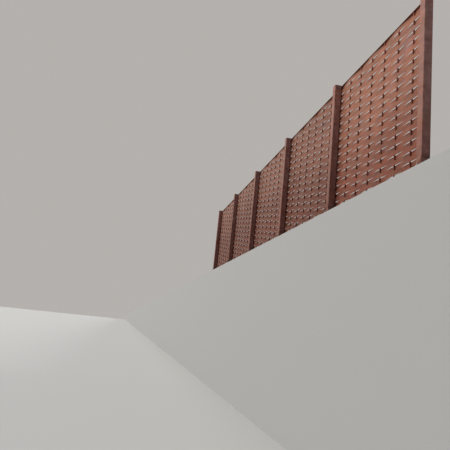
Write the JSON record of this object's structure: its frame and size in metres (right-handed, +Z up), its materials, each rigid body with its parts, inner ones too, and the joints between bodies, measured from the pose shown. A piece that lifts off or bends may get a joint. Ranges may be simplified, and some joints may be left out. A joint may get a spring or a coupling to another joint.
{
  "type": "metal privacy screen",
  "caption": "Wall-top privacy screen in bays: square posts carry framed panels of flat steel strips woven round upright bars.",
  "frame": {"origin": "centre of the free end post's base plate, on its underside", "axes": "+X along the row towards the free end, +Y towards the property behind the screen, +Z up; the street side faces -Y"},
  "size_m": [12.12, 0.18, 2.06],
  "materials": {
    "post_steel": "matt red-oxide primer, dusty, sun-faded",
    "frame_steel": "matt red-oxide primer, dusty",
    "strip_steel": "matt red-oxide primer, patchy with dust and light rust"
  },
  "bodies": {
    "root": {"post_1": "post_steel", "post_2": "post_steel", "post_3": "post_steel", "post_4": "post_steel", "post_5": "post_steel", "post_6": "post_steel", "base_plates": "post_steel", "post_caps": "post_steel", "panel_1_rails": "frame_steel", "panel_1_stiles": "frame_steel", "panel_1_bars": "frame_steel", "panel_1_weave": "strip_steel", "panel_2_rails": "frame_steel", "panel_2_stiles": "frame_steel", "panel_2_bars": "frame_steel", "panel_2_weave": "strip_steel", "panel_3_rails": "frame_steel", "panel_3_stiles": "frame_steel", "panel_3_bars": "frame_steel", "panel_3_weave": "strip_steel", "panel_4_rails": "frame_steel", "panel_4_stiles": "frame_steel", "panel_4_bars": "frame_steel", "panel_4_weave": "strip_steel", "panel_5_rails": "frame_steel", "panel_5_stiles": "frame_steel", "panel_5_bars": "frame_steel", "panel_5_weave": "strip_steel"}
  },
  "joints": []
}
